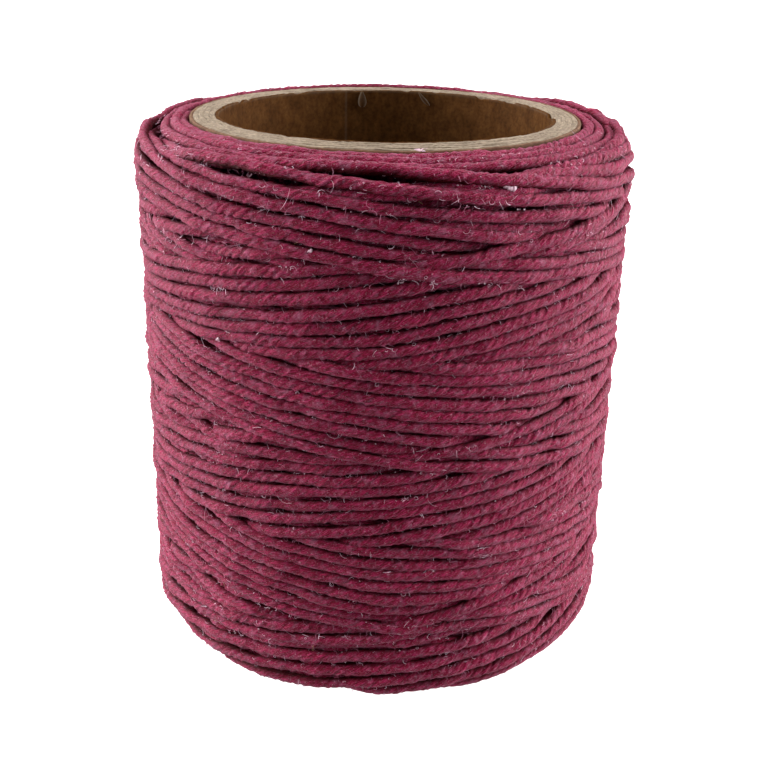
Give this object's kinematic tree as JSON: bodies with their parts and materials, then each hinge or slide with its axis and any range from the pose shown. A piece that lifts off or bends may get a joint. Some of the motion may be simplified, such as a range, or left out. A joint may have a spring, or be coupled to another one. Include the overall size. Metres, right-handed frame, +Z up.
{
  "type": "waxed thread spool",
  "caption": "Cylindrical spool of waxed cord, cross-wound in crossing bands on an open laminated paperboard tube that slips over a peg or stands on its end.",
  "frame": {"origin": "centre of the tube's lower rim, on the surface that the spool stands on", "axes": "+Z up along the tube's axis; the spool is round about Z, so +X and +Y are free, with -Y facing the viewer"},
  "size_m": [0.0566, 0.0566, 0.0615],
  "materials": {
    "kraft_liner": "matte",
    "board": "matte",
    "kraft_wrap": "matte",
    "waxed_cord": "satin"
  },
  "bodies": {
    "root": {"core_liner": "kraft_liner", "core_board_1": "board", "core_board_2": "board", "core_board_3": "board", "core_board_4": "board", "core_wrap": "kraft_wrap", "cord_layer_1": "waxed_cord", "cord_layer_2": "waxed_cord", "cord_layer_3": "waxed_cord", "cord_layer_4": "waxed_cord", "cord_layer_5": "waxed_cord"}
  },
  "joints": []
}
